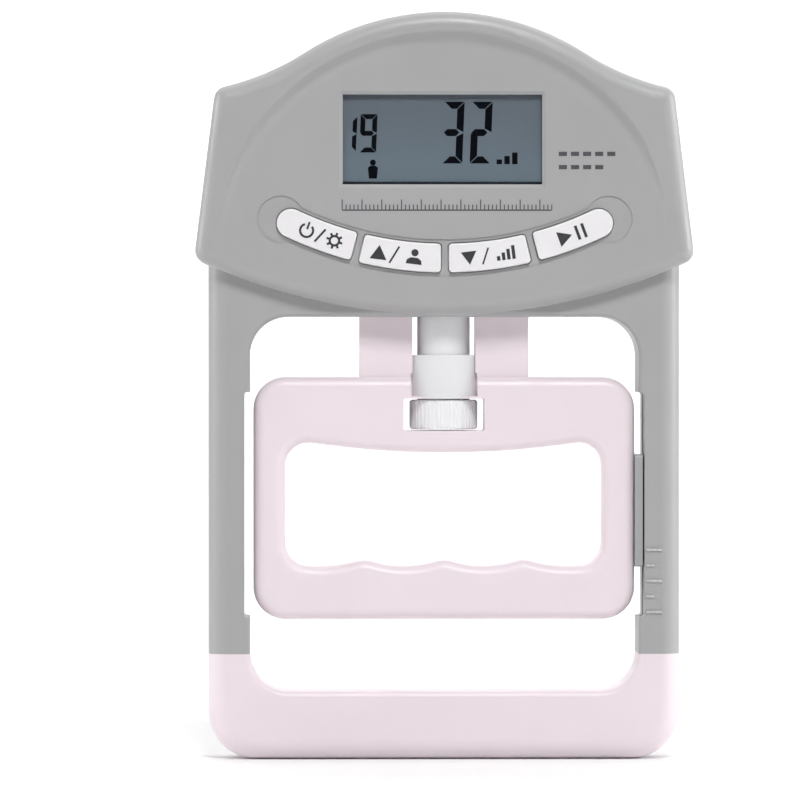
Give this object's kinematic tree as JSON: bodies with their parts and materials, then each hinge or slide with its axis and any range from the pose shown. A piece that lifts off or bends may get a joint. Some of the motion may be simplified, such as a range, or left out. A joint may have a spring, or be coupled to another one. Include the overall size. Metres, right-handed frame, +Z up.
{
  "type": "hand dynamometer",
  "caption": "Hand-held grip strength meter: a shield-shaped display head on a yoke, with a palm bar and a finger handle set by a threaded wheel.",
  "frame": {"origin": "centre of the flat underside of the palm grip, midway between the front and back of the yoke", "axes": "+Z up from the palm bar to the display head, +X to the right as the display is read, +Y from the display towards the back"},
  "size_m": [0.128, 0.0309, 0.192],
  "materials": {
    "shell_grey": "fine spark-eroded texture",
    "grip_white": "smooth moulded",
    "key_white": "smooth moulded keys with printed symbols",
    "wheel_white": "smooth moulded",
    "shoe_grey": "low-friction acetal",
    "clear_window": "clear acrylic",
    "display_glass": "reflective liquid crystal cell",
    "holder_white": "moulded",
    "connector_rubber": "layered silicone strip",
    "board_green": "glass-epoxy laminate",
    "chip_black": "moulded epoxy",
    "switch_black": "moulded",
    "cell_aluminium": "machined",
    "gauge_film": "polyimide foil",
    "steel": "zinc plated",
    "brass": "turned",
    "nickel_contact": "nickel plated",
    "lead_insulation": "PVC insulation",
    "battery_jacket": "plain printed film"
  },
  "bodies": {
    "frame": {"front_shell": "shell_grey", "rear_shell": "shell_grey", "palm_grip_front": "grip_white", "palm_grip_rear": "grip_white", "display_lens": "clear_window", "display_glass": "display_glass", "display_holder": "holder_white", "connector_strip": "connector_rubber", "circuit_board": "board_green", "board_screws": "steel", "board_chips": "chip_black", "tact_switches": "switch_black", "load_cell": "cell_aluminium", "load_cell_screws": "steel", "strain_gauges": "gauge_film", "stud": "steel", "jam_nut": "steel", "load_cell_leads": "lead_insulation", "battery_leads": "lead_insulation", "shell_screws": "steel", "grip_screws": "steel", "battery_upper": "battery_jacket", "battery_lower": "battery_jacket", "contact_plates": "nickel_contact", "contact_springs": "nickel_contact"},
    "handle": {"handle_front": "grip_white", "handle_rear": "grip_white", "handle_screws": "steel", "span_pointer": "shoe_grey", "neck_bush": "wheel_white"},
    "wheel": {"adjusting_wheel": "wheel_white", "threaded_insert": "brass"},
    "key_power": {"button_power": "key_white", "plunger_power": "switch_black"},
    "key_up": {"button_up": "key_white", "plunger_up": "switch_black"},
    "key_down": {"button_down": "key_white", "plunger_down": "switch_black"},
    "key_start": {"button_start": "key_white", "plunger_start": "switch_black"},
    "door": {"battery_door": "shell_grey"}
  },
  "joints": [
    {"name": "handle_slide", "type": "slide", "parent": "frame", "child": "handle", "axis": [0, 0, 1], "range_m": [-0.012, 0.015]},
    {"name": "wheel_spin", "type": "hinge", "parent": "handle", "child": "wheel", "pos_m": [0, 0, 0.0887], "axis": [0, 0, 1], "range_deg": [-3460, 4325]},
    {"name": "press_power", "type": "slide", "parent": "frame", "child": "key_power", "axis": [0, 1, 0], "range_m": [0, 0.0006], "stiffness_N_per_m": 300},
    {"name": "press_up", "type": "slide", "parent": "frame", "child": "key_up", "axis": [0, 1, 0], "range_m": [0, 0.0006], "stiffness_N_per_m": 300},
    {"name": "press_down", "type": "slide", "parent": "frame", "child": "key_down", "axis": [0, 1, 0], "range_m": [0, 0.0006], "stiffness_N_per_m": 300},
    {"name": "press_start", "type": "slide", "parent": "frame", "child": "key_start", "axis": [0, 1, 0], "range_m": [0, 0.0006], "stiffness_N_per_m": 300},
    {"name": "door_hinge", "type": "hinge", "parent": "frame", "child": "door", "pos_m": [0, 0.01175, 0.15984], "axis": [-1, 0, 0], "range_deg": [0, 75]}
  ],
  "couplings": [
    {"joint": "wheel_spin", "follows": "handle_slide", "rad_per_m": 5026.5}
  ]
}
